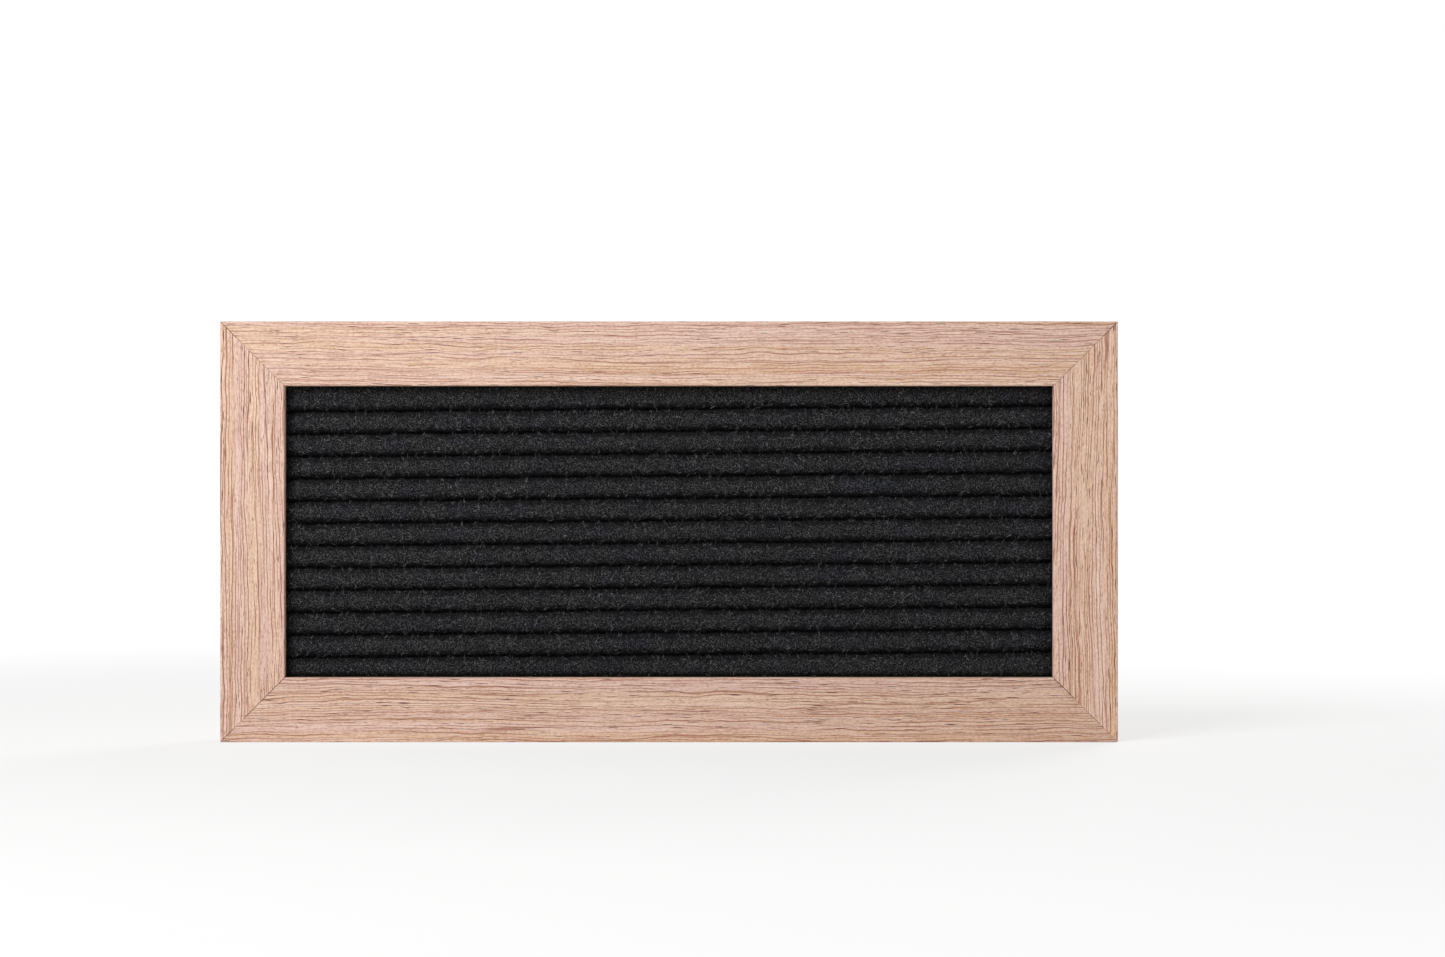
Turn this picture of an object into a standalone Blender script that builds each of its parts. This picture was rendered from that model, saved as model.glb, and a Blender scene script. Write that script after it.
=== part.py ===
"""Felt letter board, built as the real one is.

Four mitred rails with a groove round their inner edge hold a fibreboard panel, whose front
is milled into lands and grooves. One felt sheet is pleated over the lands and tucked into
the grooves, which leaves the slots that letters push into. Sheet-metal wedges pin the
mitres from the back, disc magnets sit in pockets in the rails, and two triangular rings
swing in folded straps whose claws bite into the panel.

Units are metres. The board stands upright: +Z is up, the felt faces -Y, and the origin is
the middle of the bottom edge. Left and right are those of someone who faces the felt.
"""

import math

import bmesh
import bpy
from mathutils import Matrix, Vector

SMOOTH_ANGLE = math.radians(40)  # faces that meet at less are shaded as one surface

# Frame
BOARD_WIDTH = 0.320
BOARD_HEIGHT = 0.150
FRAME_DEPTH = 0.016
RAIL_WIDTH = 0.023
ARRIS_RADIUS = 0.0005
LIP_THICKNESS = 0.0032
PANEL_GROOVE = 0.005  # how far the panel runs into each rail
MITRE_GAP = 0.0002
SEAT_GAP = 0.0003  # between the panel, the felt and the groove that holds them

# Felt and its slots
SLOT_PITCH = 0.008
SLOT_WIDTH = 0.0012
SLOT_DEPTH = 0.0032
SLOT_SKEW = math.radians(0.45)  # the sheet was glued a little out of square
FELT_THICKNESS = 0.001
FELT_BEND = 0.0004  # inner radius where the felt turns down into a slot
RIDGE_SLOPE_RUN = 0.0024  # the upper side of each ridge leans back
RIDGE_SLOPE_DROP = 0.0011
RIDGE_CROWN_RADIUS = 0.004
PANEL_THICKNESS = 0.006

# Magnets
MAGNET_DIAMETER = 0.011
MAGNET_THICKNESS = 0.002
MAGNET_SPACING = 0.0646
MAGNET_CHAMFER = 0.0002
MAGNET_SUNK = 0.0001  # below the back of the frame
POCKET_GAP = 0.0003

# Corner wedges
WEDGE_LEG = 0.0062
WEDGE_HOOK = 0.0010
WEDGE_HOOK_TURN = math.radians(50)
WEDGE_THICKNESS = 0.0004
WEDGE_EDGE_SHARE = 0.35  # thickness left at the sharpened edge
WEDGE_EDGE_LENGTH = 0.0015
WEDGE_HEIGHT = 0.010
WEDGE_INSET = 0.0102  # from the outer faces of both rails to the bend
WEDGE_SUNK = 0.0002
WEDGE_GAP = 0.0001

# Hangers
LEFT_HANGER_INSET = 0.0124  # from the side of the opening to the middle of the strap
RIGHT_HANGER_INSET = 0.0115
RIGHT_HANGER_TILT = math.radians(4)  # its claws were pressed in a little askew
HANGER_DROP = 0.0139  # from the top of the opening to the bar of the ring
RING_WIDTH = 0.0144  # between the outermost points of the wire's own line
RING_LEG_ANGLE = math.radians(58.5)
RING_CORNER_RADIUS = 0.0012
RING_TOP_RADIUS = 0.0027
WIRE_DIAMETER = 0.0016
WIRE_SPLIT = 0.0004  # the two wire ends meet inside the strap
RING_CLEARANCE = 0.00015
STRAP_WIDTH = 0.0114
STRAP_THICKNESS = 0.0005
STRAP_SEAT_GAP = 0.0001
STRAP_DROP = 0.0036  # from the bar down to the outside of the claws
STRAP_BEND_RADIUS = 0.0006
CLAW_COUNT = 3
CLAW_WIDTH = 0.0012
CLAW_TIP_SHARE = 0.35
CLAW_BITE = 0.0022  # depth of the claws in the panel
CLAW_ROOT = 0.0003  # height above the panel where the strap divides into claws
FOLD_SHARE = 0.999  # of the radius at which the fold's two arcs would meet
CLAW_GAP = 0.0001

# Worked out from the above
OPENING_WIDTH = BOARD_WIDTH - 2 * RAIL_WIDTH
OPENING_HEIGHT = BOARD_HEIGHT - 2 * RAIL_WIDTH
MIDDLE = Vector((0, 0, BOARD_HEIGHT / 2))
FRONT_Y = -FRAME_DEPTH / 2
BACK_Y = FRAME_DEPTH / 2
GROOVE_FRONT_Y = FRONT_Y + LIP_THICKNESS
FELT_Y = GROOVE_FRONT_Y + SEAT_GAP
PANEL_FRONT_Y = FELT_Y + FELT_THICKNESS + SEAT_GAP
PANEL_BACK_Y = PANEL_FRONT_Y + PANEL_THICKNESS
GROOVE_BACK_Y = PANEL_BACK_Y + SEAT_GAP
PANEL_WIDTH = OPENING_WIDTH + 2 * (PANEL_GROOVE - SEAT_GAP)
PANEL_HEIGHT = OPENING_HEIGHT + 2 * (PANEL_GROOVE - SEAT_GAP)
SLOT_COUNT = round(OPENING_HEIGHT / SLOT_PITCH) - 1
SLOT_ROUND_SHARE = 0.45  # of the slot's width, at each corner of its bottom
WIRE_RADIUS = WIRE_DIAMETER / 2
FOLD_RADIUS = WIRE_RADIUS + RING_CLEARANCE
BAR_HEIGHT = STRAP_SEAT_GAP + STRAP_THICKNESS + FOLD_RADIUS  # above the panel's back

# Colours as linear red, green and blue, with roughness and metallic
FINISHES = {
    "oak": ((0.66, 0.45, 0.34), 0.6, 0.0),
    "felt": ((0.024, 0.024, 0.025), 1.0, 0.0),
    "fibreboard": ((0.50, 0.31, 0.22), 0.85, 0.0),
    "magnet_plating": ((0.22, 0.22, 0.22), 0.4, 0.8),
    "brass_plating": ((0.62, 0.46, 0.20), 0.3, 1.0),
    "wedge_steel": ((0.30, 0.28, 0.26), 0.45, 1.0),
}


def clear_scene():
    """Removes the objects that Blender starts with."""
    for found in list(bpy.data.objects):
        bpy.data.objects.remove(found, do_unlink=True)


def make_collection(name):
    """A new collection in the scene."""
    made = bpy.data.collections.new(name)
    bpy.context.scene.collection.children.link(made)
    return made


def make_material(name):
    """A Principled material with the finish of that name."""
    colour, roughness, metallic = FINISHES[name]
    made = bpy.data.materials.new(name)
    made.use_nodes = True
    shader = made.node_tree.nodes["Principled BSDF"]
    shader.inputs["Base Color"].default_value = (*colour, 1)
    shader.inputs["Roughness"].default_value = roughness
    shader.inputs["Metallic"].default_value = metallic
    made.diffuse_color = (*colour, 1)
    return made


class Shop:
    """The collections and materials, and how a shape becomes a part or a cutter."""

    def __init__(self):
        self.parts = make_collection("felt_letter_board")
        self.cutters = make_collection("cutters")
        self.materials = {name: make_material(name) for name in FINISHES}

    def part(self, name, data, finish, matrix=None):
        """A named piece of the board with its material."""
        made = bpy.data.objects.new(name, data)
        self.parts.objects.link(made)
        data.materials.append(self.materials[finish])
        made.matrix_world = matrix or Matrix.Identity(4)
        return made

    def cutter(self, name, data, matrix=None):
        """A helper that only cuts other pieces."""
        made = bpy.data.objects.new(name, data)
        self.cutters.objects.link(made)
        made.matrix_world = matrix or Matrix.Identity(4)
        made.hide_render = True
        made.display_type = "WIRE"
        return made


def cut(piece, cutter):
    """Takes the cutter's shape out of a piece."""
    made = piece.modifiers.new("cut_" + cutter.name, "BOOLEAN")
    made.operation = "DIFFERENCE"
    made.object = cutter


def bevel(piece, width, segments=2):
    """Rounds the sharp edges of a piece."""
    made = piece.modifiers.new("eased_edges", "BEVEL")
    made.width = width
    made.segments = segments
    made.limit_method = "ANGLE"


def flatten_shading(piece):
    """Lets the wide faces keep their own direction where a cut has split them."""
    made = piece.modifiers.new("flat_faces", "WEIGHTED_NORMAL")
    made.keep_sharp = True


def thicken(piece, thickness, offset):
    """Gives an open surface a wall."""
    made = piece.modifiers.new("wall", "SOLIDIFY")
    made.thickness = thickness
    made.offset = offset
    made.use_even_offset = True
    return made


def mesh_from(name, shape, smooth_angle=None, turn_out=True):
    """A mesh from a bmesh, shaded smooth where its faces meet at less than the angle."""
    if turn_out:
        bmesh.ops.recalc_face_normals(shape, faces=shape.faces)
    made = bpy.data.meshes.new(name)
    shape.to_mesh(made)
    shape.free()
    if smooth_angle is not None:
        made.shade_smooth()
        made.set_sharp_from_angle(angle=smooth_angle)
    return made


def box_mesh(name, low, high):
    """A box between two corners."""
    low, high = Vector(low), Vector(high)
    shape = bmesh.new()
    place = Matrix.Translation((low + high) / 2) @ Matrix.Diagonal((*(high - low), 1))
    bmesh.ops.create_cube(shape, size=1, matrix=place)
    return mesh_from(name, shape)


def disc_mesh(name, radius, thickness, sides=48):
    """A round disc about Y, with its front at y 0."""
    shape = bmesh.new()
    place = Matrix.Translation((0, thickness / 2, 0)) @ Matrix.Rotation(math.pi / 2, 4, "X")
    bmesh.ops.create_cone(
        shape,
        cap_ends=True,
        segments=sides,
        radius1=radius,
        radius2=radius,
        depth=thickness,
        matrix=place,
    )
    return mesh_from(name, shape, smooth_angle=SMOOTH_ANGLE)


def rounded(corners, radii, steps):
    """The 2D path through the corners, with an arc of the given radius at each inner one."""
    path = [Vector(corners[0])]
    for before, corner, after, radius in zip(corners, corners[1:], corners[2:], radii):
        corner = Vector(corner)
        back = (Vector(before) - corner).normalized()
        ahead = (Vector(after) - corner).normalized()
        half = back.angle(ahead) / 2
        centre = corner + (back + ahead).normalized() * (radius / math.sin(half))
        start = corner + back * (radius / math.tan(half)) - centre
        end = corner + ahead * (radius / math.tan(half)) - centre
        turn = math.atan2(start.cross(end), start.dot(end))
        for step in range(steps + 1):
            angle = turn * step / steps
            spun = Vector(
                (
                    start.x * math.cos(angle) - start.y * math.sin(angle),
                    start.x * math.sin(angle) + start.y * math.cos(angle),
                )
            )
            path.append(centre + spun)
    path.append(Vector(corners[-1]))
    return path


def parallel(corners, distance):
    """The corners of a path moved sideways, to the left of the way it runs."""
    moved = []
    for before, corner, after in zip([None, *corners], corners, [*corners[1:], None]):
        sides = []
        for start, end in ((before, corner), (corner, after)):
            if start is not None and end is not None:
                along = (Vector(end) - Vector(start)).normalized()
                sides.append(Vector((-along.y, along.x)))
        middle = sum(sides, Vector((0, 0))).normalized()
        moved.append(Vector(corner) + middle * (distance / middle.dot(sides[0])))
    return moved


def drawn_out(line, offsets):
    """An open surface: a line of points, drawn out from each offset to the next."""
    shape = bmesh.new()
    row = [shape.verts.new(point + offsets[0]) for point in line]
    edges = [shape.edges.new(pair) for pair in zip(row, row[1:])]
    for here, there in zip(offsets, offsets[1:]):
        drawn = bmesh.ops.extrude_edge_only(shape, edges=edges)["geom"]
        moved = {found for found in drawn if isinstance(found, bmesh.types.BMVert)}
        bmesh.ops.translate(shape, verts=list(moved), vec=there - here)
        new_edges = [found for found in drawn if isinstance(found, bmesh.types.BMEdge)]
        edges = [edge for edge in new_edges if set(edge.verts) <= moved]
    return shape


def slot_heights():
    """How far each slot lies above the middle of the board, from the top down."""
    highest = (SLOT_COUNT - 1) / 2 * SLOT_PITCH
    return [highest - number * SLOT_PITCH for number in range(SLOT_COUNT)]


def ridge_path(inset, steps, overrun):
    """The front of the felt as (y, z) points from top to bottom, or a line behind it.

    inset is how far behind the felt's front the line runs, and overrun is how far it goes
    past the panel at each end. y is 0 on the crests, and z is 0 in the middle of the board.
    """
    bend = FELT_THICKNESS + FELT_BEND
    bottom = SLOT_WIDTH * SLOT_ROUND_SHARE
    end = PANEL_HEIGHT / 2 + overrun
    corners, radii = [(0, end)], []
    for height in slot_heights():
        above, below = height + SLOT_WIDTH / 2, height - SLOT_WIDTH / 2
        corners += [(0, above), (SLOT_DEPTH, above), (SLOT_DEPTH, below)]
        corners += [(RIDGE_SLOPE_DROP, below), (0, below - RIDGE_SLOPE_RUN)]
        radii += [bend - inset, bottom + inset, bottom + inset, bend - inset]
        radii += [RIDGE_CROWN_RADIUS - inset]
    corners.append((0, -end))
    return rounded(parallel(corners, inset), radii, steps)


def turned_with_slots():
    """Where the felt and its lands lie: at the board's middle, turned by the slots' skew."""
    return Matrix.Translation(MIDDLE + Vector((0, FELT_Y, 0))) @ Matrix.Rotation(-SLOT_SKEW, 4, "Y")


def skew_overrun():
    """How far a skewed shape must run past the panel to cover its corners."""
    return PANEL_WIDTH * math.tan(SLOT_SKEW)


def make_felt(shop):
    """One felt sheet, pleated over the lands and trimmed square to the panel."""
    overrun = skew_overrun()
    line = [Vector((0, spot.x, spot.y)) for spot in ridge_path(0, 4, overrun)]
    reach = Vector((PANEL_WIDTH / 2 + overrun, 0, 0))
    shape = drawn_out(line, (reach, -reach))
    shape.transform(turned_with_slots())
    half = Vector((PANEL_WIDTH / 2, 0, PANEL_HEIGHT / 2))
    for side in (-1, 1):
        for out in (Vector((side, 0, 0)), Vector((0, 0, side))):
            bmesh.ops.bisect_plane(
                shape,
                geom=[*shape.verts, *shape.edges, *shape.faces],
                plane_co=MIDDLE + half * side,
                plane_no=out,
                clear_outer=True,
            )
    data = mesh_from("felt_sheet", shape, smooth_angle=SMOOTH_ANGLE, turn_out=False)
    felt = shop.part("felt_sheet", data, "felt")
    thicken(felt, FELT_THICKNESS, offset=-1)
    return felt


def make_panel(shop):
    """The fibreboard panel, with lands milled to the shape of the felt's pleats."""
    half = Vector((PANEL_WIDTH / 2, 0, PANEL_HEIGHT / 2))
    low = MIDDLE - half + Vector((0, PANEL_FRONT_Y, 0))
    high = MIDDLE + half + Vector((0, PANEL_BACK_Y, 0))
    panel = shop.part("grooved_panel", box_mesh("grooved_panel", low, high), "fibreboard")
    overrun = skew_overrun()
    shape = bmesh.new()
    path = ridge_path(FELT_THICKNESS + SEAT_GAP, 3, 2 * overrun)
    ahead = -PANEL_THICKNESS
    outline = [*path, Vector((ahead, path[-1].y)), Vector((ahead, path[0].y))]
    reach = PANEL_WIDTH / 2 + overrun
    face = shape.faces.new([shape.verts.new((-reach, p.x, p.y)) for p in outline])
    drawn = bmesh.ops.extrude_face_region(shape, geom=[face])
    moved = [found for found in drawn["geom"] if isinstance(found, bmesh.types.BMVert)]
    bmesh.ops.translate(shape, verts=moved, vec=(2 * reach, 0, 0))
    cutter = shop.cutter("pleat_cutter", mesh_from("pleat_cutter", shape), turned_with_slots())
    cut(panel, cutter)
    return panel


def rail_mesh(name, length):
    """A mitred rail along X: z 0 is its inner edge, and its long arrises are eased."""
    shape = bmesh.new()
    place = Matrix.Translation((0, 0, RAIL_WIDTH / 2))
    place @= Matrix.Diagonal((length, FRAME_DEPTH, RAIL_WIDTH, 1))
    bmesh.ops.create_cube(shape, size=1, matrix=place)
    long_edges = [
        edge for edge in shape.edges if abs(edge.verts[0].co.x - edge.verts[1].co.x) > length / 2
    ]
    bmesh.ops.bevel(
        shape,
        geom=long_edges,
        offset=ARRIS_RADIUS,
        segments=3,
        profile=0.5,
        affect="EDGES",
    )
    for side in (-1, 1):
        out = Vector((side, 0, -1)).normalized()
        corner = Vector((side * length / 2, 0, RAIL_WIDTH))
        bisected = bmesh.ops.bisect_plane(
            shape,
            geom=[*shape.verts, *shape.edges, *shape.faces],
            plane_co=corner - out * MITRE_GAP / 2,
            plane_no=out,
            clear_outer=True,
        )
        rim = [found for found in bisected["geom_cut"] if isinstance(found, bmesh.types.BMEdge)]
        bmesh.ops.contextual_create(shape, geom=rim)
    return mesh_from(name, shape, smooth_angle=SMOOTH_ANGLE)


def rail_places():
    """Each rail's name, length, turn about Y and the distance of its inner edge from the middle."""
    across, up = OPENING_WIDTH / 2, OPENING_HEIGHT / 2
    return (
        ("frame_rail_top", BOARD_WIDTH, 0, up),
        ("frame_rail_right", BOARD_HEIGHT, math.pi / 2, across),
        ("frame_rail_bottom", BOARD_WIDTH, math.pi, up),
        ("frame_rail_left", BOARD_HEIGHT, -math.pi / 2, across),
    )


def make_rails(shop):
    """The four rails, with the groove that holds the panel and its felt."""
    half = Vector((OPENING_WIDTH / 2 + PANEL_GROOVE, 0, OPENING_HEIGHT / 2 + PANEL_GROOVE))
    low = MIDDLE - half + Vector((0, GROOVE_FRONT_Y, 0))
    high = MIDDLE + half + Vector((0, GROOVE_BACK_Y, 0))
    groove = shop.cutter("panel_groove", box_mesh("panel_groove", low, high))
    rails = {}
    for name, length, turn, inner in rail_places():
        place = Matrix.Translation(MIDDLE) @ Matrix.Rotation(turn, 4, "Y")
        place @= Matrix.Translation((0, 0, inner))
        rails[name] = shop.part(name, rail_mesh(name, length), "oak", place)
        cut(rails[name], groove)
    return rails


def magnet_places():
    """Each magnet's name, the rail it sits in, and its centre on the back of the frame."""
    rail_middle = RAIL_WIDTH / 2
    across, up = BOARD_WIDTH / 2 - rail_middle, BOARD_HEIGHT / 2 - rail_middle
    spread = MAGNET_SPACING / 2
    return (
        ("magnet_top_left", "frame_rail_top", (-spread, up)),
        ("magnet_top_right", "frame_rail_top", (spread, up)),
        ("magnet_bottom_left", "frame_rail_bottom", (-spread, -up)),
        ("magnet_bottom_right", "frame_rail_bottom", (spread, -up)),
        ("magnet_left", "frame_rail_left", (-across, 0)),
        ("magnet_right", "frame_rail_right", (across, 0)),
    )


def make_magnets(shop, rails):
    """Disc magnets, each glued into a round pocket in the back of a rail."""
    pocket_depth = MAGNET_SUNK + MAGNET_THICKNESS + POCKET_GAP
    radius = MAGNET_DIAMETER / 2
    for name, rail, (across, up) in magnet_places():
        front = BACK_Y - MAGNET_SUNK - MAGNET_THICKNESS
        place = Matrix.Translation(MIDDLE + Vector((across, front, up)))
        magnet = shop.part(name, disc_mesh(name, radius, MAGNET_THICKNESS), "magnet_plating", place)
        bevel(magnet, MAGNET_CHAMFER)
        bottom = Matrix.Translation(MIDDLE + Vector((across, BACK_Y - pocket_depth, up)))
        data = disc_mesh("pocket_" + name, radius + POCKET_GAP, 2 * pocket_depth)
        cut(rails[rail], shop.cutter("pocket_" + name, data, bottom))


def wedge_path(extra):
    """A corner wedge from above: two legs at a right angle, their tips turned outwards.

    The bend is at 0, 0, and the legs run along -x and -y, away from the corner of the frame.
    """
    hook = WEDGE_HOOK + extra
    out, along = hook * math.sin(WEDGE_HOOK_TURN), hook * math.cos(WEDGE_HOOK_TURN)
    corners = [(-WEDGE_LEG - along, out), (-WEDGE_LEG, 0), (0, 0)]
    corners += [(0, -WEDGE_LEG), (out, -WEDGE_LEG - along)]
    bend = 2 * WEDGE_THICKNESS
    return rounded(corners, [bend, bend, bend], 3)


def wedge_mesh(name, extra, levels):
    """An upright sheet on the wedge's path, drawn down through each of the y levels."""
    line = [Vector((spot.x, 0, spot.y)) for spot in wedge_path(extra)]
    shape = drawn_out(line, [Vector((0, level, 0)) for level in levels])
    return mesh_from(name, shape, smooth_angle=SMOOTH_ANGLE)


def make_wedges(shop, rails):
    """Sheet-metal wedges driven across each mitre from the back, edge first."""
    top = BACK_Y - WEDGE_SUNK
    levels = (top, top - WEDGE_HEIGHT + WEDGE_EDGE_LENGTH, top - WEDGE_HEIGHT)
    edge_corners = len(wedge_path(0))
    bend = Vector((BOARD_WIDTH / 2 - WEDGE_INSET, 0, BOARD_HEIGHT / 2 - WEDGE_INSET))
    for upright, quarter_turns, side in (
        ("top", 0, "right"),
        ("bottom", 1, "right"),
        ("bottom", 2, "left"),
        ("top", 3, "left"),
    ):
        across = 1 if side == "right" else -1
        up = 1 if upright == "top" else -1
        place = Matrix.Translation(MIDDLE + Vector((across * bend.x, 0, up * bend.z)))
        place @= Matrix.Rotation(quarter_turns * math.pi / 2, 4, "Y")
        name = f"corner_wedge_{upright}_{side}"
        data = wedge_mesh(name, 0, levels)
        wedge = shop.part(name, data, "wedge_steel", place)
        sharp = wedge.vertex_groups.new(name="thickness")
        sharp.add(range(len(data.vertices) - edge_corners), 1, "REPLACE")
        sharp.add(
            range(len(data.vertices) - edge_corners, len(data.vertices)),
            WEDGE_EDGE_SHARE,
            "REPLACE",
        )
        wall = thicken(wedge, WEDGE_THICKNESS, offset=0)
        wall.vertex_group = sharp.name
        kerf_levels = (BACK_Y + WEDGE_HEIGHT, top - WEDGE_HEIGHT - WEDGE_GAP)
        kerf_data = wedge_mesh("kerf_" + name, WEDGE_GAP, kerf_levels)
        kerf = shop.cutter("kerf_" + name, kerf_data, place)
        thicken(kerf, WEDGE_THICKNESS + 2 * WEDGE_GAP, offset=0)
        for rail in (f"frame_rail_{upright}", f"frame_rail_{side}"):
            cut(rails[rail], kerf)


def ring_path():
    """The wire's line as (x, z) points: from the split in the bar, round the triangle and back."""
    half_angle = RING_LEG_ANGLE / 2
    outermost = RING_WIDTH / 2
    corner_x = outermost - RING_CORNER_RADIUS + RING_CORNER_RADIUS / math.tan(half_angle)
    apex = corner_x * math.tan(RING_LEG_ANGLE)
    split = WIRE_SPLIT / 2
    corners = [(split, 0), (corner_x, 0), (0, apex), (-corner_x, 0), (-split, 0)]
    return rounded(corners, [RING_CORNER_RADIUS, RING_TOP_RADIUS, RING_CORNER_RADIUS], 7)


def ring_lean():
    """The ring's rest angle: its top leans on the panel, because the strap holds its bar off."""
    height = max(point.y for point in ring_path())
    return math.asin((BAR_HEIGHT - WIRE_RADIUS - SEAT_GAP) / height)


def make_ring(shop, name, place):
    """A triangle of round wire that swings about its bar."""
    data = bpy.data.curves.new(name, "CURVE")
    data.dimensions = "3D"
    data.bevel_depth = WIRE_RADIUS
    data.bevel_resolution = 3
    data.use_fill_caps = True
    path = ring_path()
    spline = data.splines.new("POLY")
    spline.points.add(len(path) - 1)
    for point, spot in zip(spline.points, path):
        point.co = (spot.x, 0, spot.y, 1)
    lean = Matrix.Rotation(ring_lean(), 4, "X")
    return shop.part(name, data, "brass_plating", place @ lean)


def claw_height():
    """The middle of the claws' sheet, measured up from the ring's bar."""
    return STRAP_THICKNESS / 2 - STRAP_DROP


def strap_path():
    """The middle of the strap's sheet as (y, z) points about the bar, tip of the claws last."""
    middle = FOLD_RADIUS + STRAP_THICKNESS / 2
    claws = claw_height()
    under_end = claws + STRAP_THICKNESS + STRAP_BEND_RADIUS
    corners = [(-middle, under_end), (-middle, middle), (middle, middle), (middle, claws)]
    corners.append((-BAR_HEIGHT - CLAW_BITE, claws))
    fold = middle * FOLD_SHARE
    path = rounded(corners, [fold, fold, STRAP_BEND_RADIUS], 4)
    path.insert(-1, Vector((CLAW_ROOT - BAR_HEIGHT, claws)))
    return path


def claw_spans():
    """The two edges of each claw, across the strap."""
    step = (STRAP_WIDTH - CLAW_WIDTH) / (CLAW_COUNT - 1)
    starts = [-STRAP_WIDTH / 2 + number * step for number in range(CLAW_COUNT)]
    return [(start, start + CLAW_WIDTH) for start in starts]


def strap_mesh(name):
    """The strap as an open sheet: a full-width band that ends in a row of claws."""
    path = strap_path()
    spans = claw_spans()
    line = [Vector((0, spot.x, spot.y)) for spot in path]
    shape = drawn_out(line, [Vector((edge, 0, 0)) for span in spans for edge in span])
    root, tip = path[-2].x, path[-1].x
    between = []
    for face in shape.faces:
        middle = face.calc_center_median()
        in_claw = any(start < middle.x < end for start, end in spans)
        if tip < middle.y < root and not in_claw:
            between.append(face)
    bmesh.ops.delete(shape, geom=between, context="FACES")
    for corner in shape.verts:
        if corner.co.y < (root + tip) / 2:
            start, end = min(spans, key=lambda span: abs(sum(span) / 2 - corner.co.x))
            middle = (start + end) / 2
            corner.co.x = middle + (corner.co.x - middle) * CLAW_TIP_SHARE
    return mesh_from(name, shape, smooth_angle=SMOOTH_ANGLE)


def make_strap(shop, name, place, panel):
    """A sheet strap folded round the ring's bar, and the slits that its claws make."""
    strap = shop.part(name, strap_mesh(name), "brass_plating", place)
    thicken(strap, STRAP_THICKNESS, offset=0)
    reach = STRAP_THICKNESS / 2 + CLAW_GAP
    bottom = -BAR_HEIGHT - CLAW_BITE - CLAW_GAP
    for number, (start, end) in enumerate(claw_spans()):
        low = (start - CLAW_GAP, bottom, claw_height() - reach)
        high = (end + CLAW_GAP, 0, claw_height() + reach)
        slit = f"slit_{name}_{number}"
        cut(panel, shop.cutter(slit, box_mesh(slit, low, high), place))


def make_hangers(shop, panel):
    """A ring and its strap near each top corner of the panel's back."""
    up = OPENING_HEIGHT / 2 - HANGER_DROP
    for side, across, tilt in (
        ("left", LEFT_HANGER_INSET - OPENING_WIDTH / 2, 0),
        ("right", OPENING_WIDTH / 2 - RIGHT_HANGER_INSET, -RIGHT_HANGER_TILT),
    ):
        bar = MIDDLE + Vector((across, PANEL_BACK_Y + BAR_HEIGHT, up))
        place = Matrix.Translation(bar) @ Matrix.Rotation(tilt, 4, "Y")
        make_ring(shop, f"hanger_ring_{side}", place)
        make_strap(shop, f"hanger_strap_{side}", place, panel)


def main():
    clear_scene()
    shop = Shop()
    rails = make_rails(shop)
    make_magnets(shop, rails)
    make_wedges(shop, rails)
    for rail in rails.values():
        flatten_shading(rail)
    make_felt(shop)
    panel = make_panel(shop)
    make_hangers(shop, panel)


main()
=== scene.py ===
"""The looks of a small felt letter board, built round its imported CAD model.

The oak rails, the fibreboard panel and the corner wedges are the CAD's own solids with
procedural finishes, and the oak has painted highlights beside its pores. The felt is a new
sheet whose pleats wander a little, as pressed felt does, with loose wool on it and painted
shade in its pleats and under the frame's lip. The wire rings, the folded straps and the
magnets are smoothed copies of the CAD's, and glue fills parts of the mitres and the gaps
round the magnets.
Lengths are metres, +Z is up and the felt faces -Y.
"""

from __future__ import annotations

import logging
import math
from collections.abc import Callable, Iterable, Sequence
from dataclasses import dataclass, field
from enum import Enum
from typing import Any

import bpy
import numpy as np
from mathutils import Matrix, Vector

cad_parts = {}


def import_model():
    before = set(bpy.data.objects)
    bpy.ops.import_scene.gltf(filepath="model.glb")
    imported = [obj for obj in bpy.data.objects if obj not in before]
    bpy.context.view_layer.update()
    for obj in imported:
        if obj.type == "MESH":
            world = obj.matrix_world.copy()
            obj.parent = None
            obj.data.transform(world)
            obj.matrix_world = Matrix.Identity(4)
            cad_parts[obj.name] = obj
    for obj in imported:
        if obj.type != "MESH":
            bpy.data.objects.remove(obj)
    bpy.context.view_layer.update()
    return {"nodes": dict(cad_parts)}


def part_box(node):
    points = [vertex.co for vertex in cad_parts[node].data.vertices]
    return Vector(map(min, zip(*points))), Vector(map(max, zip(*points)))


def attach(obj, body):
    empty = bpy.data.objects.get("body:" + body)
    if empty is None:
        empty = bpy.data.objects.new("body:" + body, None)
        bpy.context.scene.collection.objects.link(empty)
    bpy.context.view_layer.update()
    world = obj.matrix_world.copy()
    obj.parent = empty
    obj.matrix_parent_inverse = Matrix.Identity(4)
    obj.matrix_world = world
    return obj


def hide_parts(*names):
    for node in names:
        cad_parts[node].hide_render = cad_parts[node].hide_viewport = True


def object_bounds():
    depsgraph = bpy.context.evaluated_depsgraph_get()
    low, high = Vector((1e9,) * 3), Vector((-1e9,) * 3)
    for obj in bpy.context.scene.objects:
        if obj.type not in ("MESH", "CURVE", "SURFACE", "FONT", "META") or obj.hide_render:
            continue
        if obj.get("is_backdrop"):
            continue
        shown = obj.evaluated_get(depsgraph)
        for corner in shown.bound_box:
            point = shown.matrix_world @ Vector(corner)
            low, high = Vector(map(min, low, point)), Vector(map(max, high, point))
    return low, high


LOG = logging.getLogger("letter_board")
BOARD = "board"
PHOTO_WIDTH = 1445
PHOTO_HEIGHT = 957

Colour = tuple[float, float, float, float]
Pair = tuple[float, float]
WHITE: Colour = (1.0, 1.0, 1.0, 1.0)
WELD_DISTANCE = 0.000002
FLAT_DEGREES = 0.5
QUARTER_TURN = (math.radians(90), 0, 0)


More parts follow.
